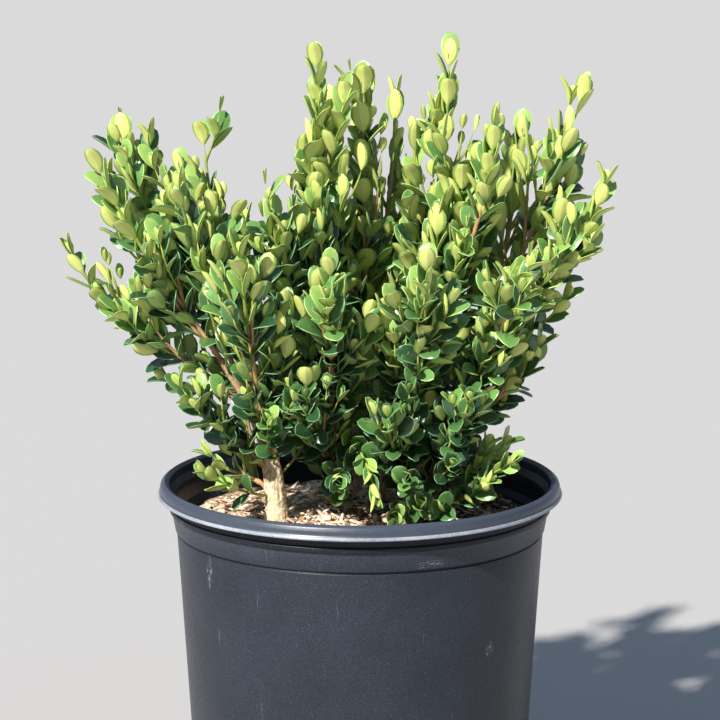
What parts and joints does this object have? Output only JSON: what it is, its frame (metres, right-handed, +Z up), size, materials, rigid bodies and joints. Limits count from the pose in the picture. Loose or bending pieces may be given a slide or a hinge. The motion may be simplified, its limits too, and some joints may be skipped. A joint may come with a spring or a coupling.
{
  "type": "potted boxwood shrub",
  "caption": "Young unclipped boxwood in a round nursery pot: upright woody stems, forked boughs and small oval leaves in pairs, standing on the pot's flat base.",
  "frame": {"origin": "centre of the pot's flat underside", "axes": "+Z up along the pot's axis, -Y towards the viewer of the picture, +X to the viewer's right"},
  "size_m": [0.3147, 0.2696, 0.462],
  "materials": {
    "black_plastic": "satin",
    "potting_mix": "rough",
    "bark": "rough",
    "pale_bark": "rough",
    "fresh_leaves": "satin",
    "deep_leaves": "glossy"
  },
  "bodies": {
    "root": {"bough_back_centre": "bark", "bough_back_left": "bark", "bough_back_low": "bark", "bough_back_low_left": "bark", "bough_back_low_right": "bark", "bough_back_right": "bark", "bough_far_left": "bark", "bough_far_right": "bark", "bough_front_centre": "bark", "bough_front_left": "bark", "bough_front_right": "bark", "bough_inner_left": "bark", "bough_inner_right": "bark", "bough_mid_left": "bark", "bough_right_front": "bark", "bough_right_side": "bark", "bough_right_tip": "bark", "bough_side_left": "bark", "bough_spire_rear": "bark", "bough_upper_left": "bark", "bough_upper_right": "bark", "foliage_back_centre": "deep_leaves", "foliage_back_left": "fresh_leaves", "foliage_back_low": "deep_leaves", "foliage_back_low_left": "deep_leaves", "foliage_back_low_right": "deep_leaves", "foliage_back_right": "deep_leaves", "foliage_far_left": "deep_leaves", "foliage_far_right": "deep_leaves", "foliage_front_centre": "deep_leaves", "foliage_front_left": "deep_leaves", "foliage_front_right": "deep_leaves", "foliage_inner_left": "deep_leaves", "foliage_inner_right": "fresh_leaves", "foliage_low_centre": "deep_leaves", "foliage_low_front": "deep_leaves", "foliage_low_left": "deep_leaves", "foliage_low_right": "deep_leaves", "foliage_low_right_front": "deep_leaves", "foliage_low_side_left": "deep_leaves", "foliage_mid_left": "fresh_leaves", "foliage_right_front": "deep_leaves", "foliage_right_side": "deep_leaves", "foliage_right_tip": "fresh_leaves", "foliage_side_left": "fresh_leaves", "foliage_spire_left": "fresh_leaves", "foliage_spire_middle": "fresh_leaves", "foliage_spire_rear": "fresh_leaves", "foliage_spire_tall": "fresh_leaves", "foliage_upper_left": "fresh_leaves", "foliage_upper_right": "fresh_leaves", "pot": "black_plastic", "potting_mix": "potting_mix", "stem_back": "bark", "stem_centre": "bark", "stem_centre_left": "bark", "stem_centre_right": "bark", "stem_left": "pale_bark", "stem_right": "bark"}
  },
  "joints": []
}
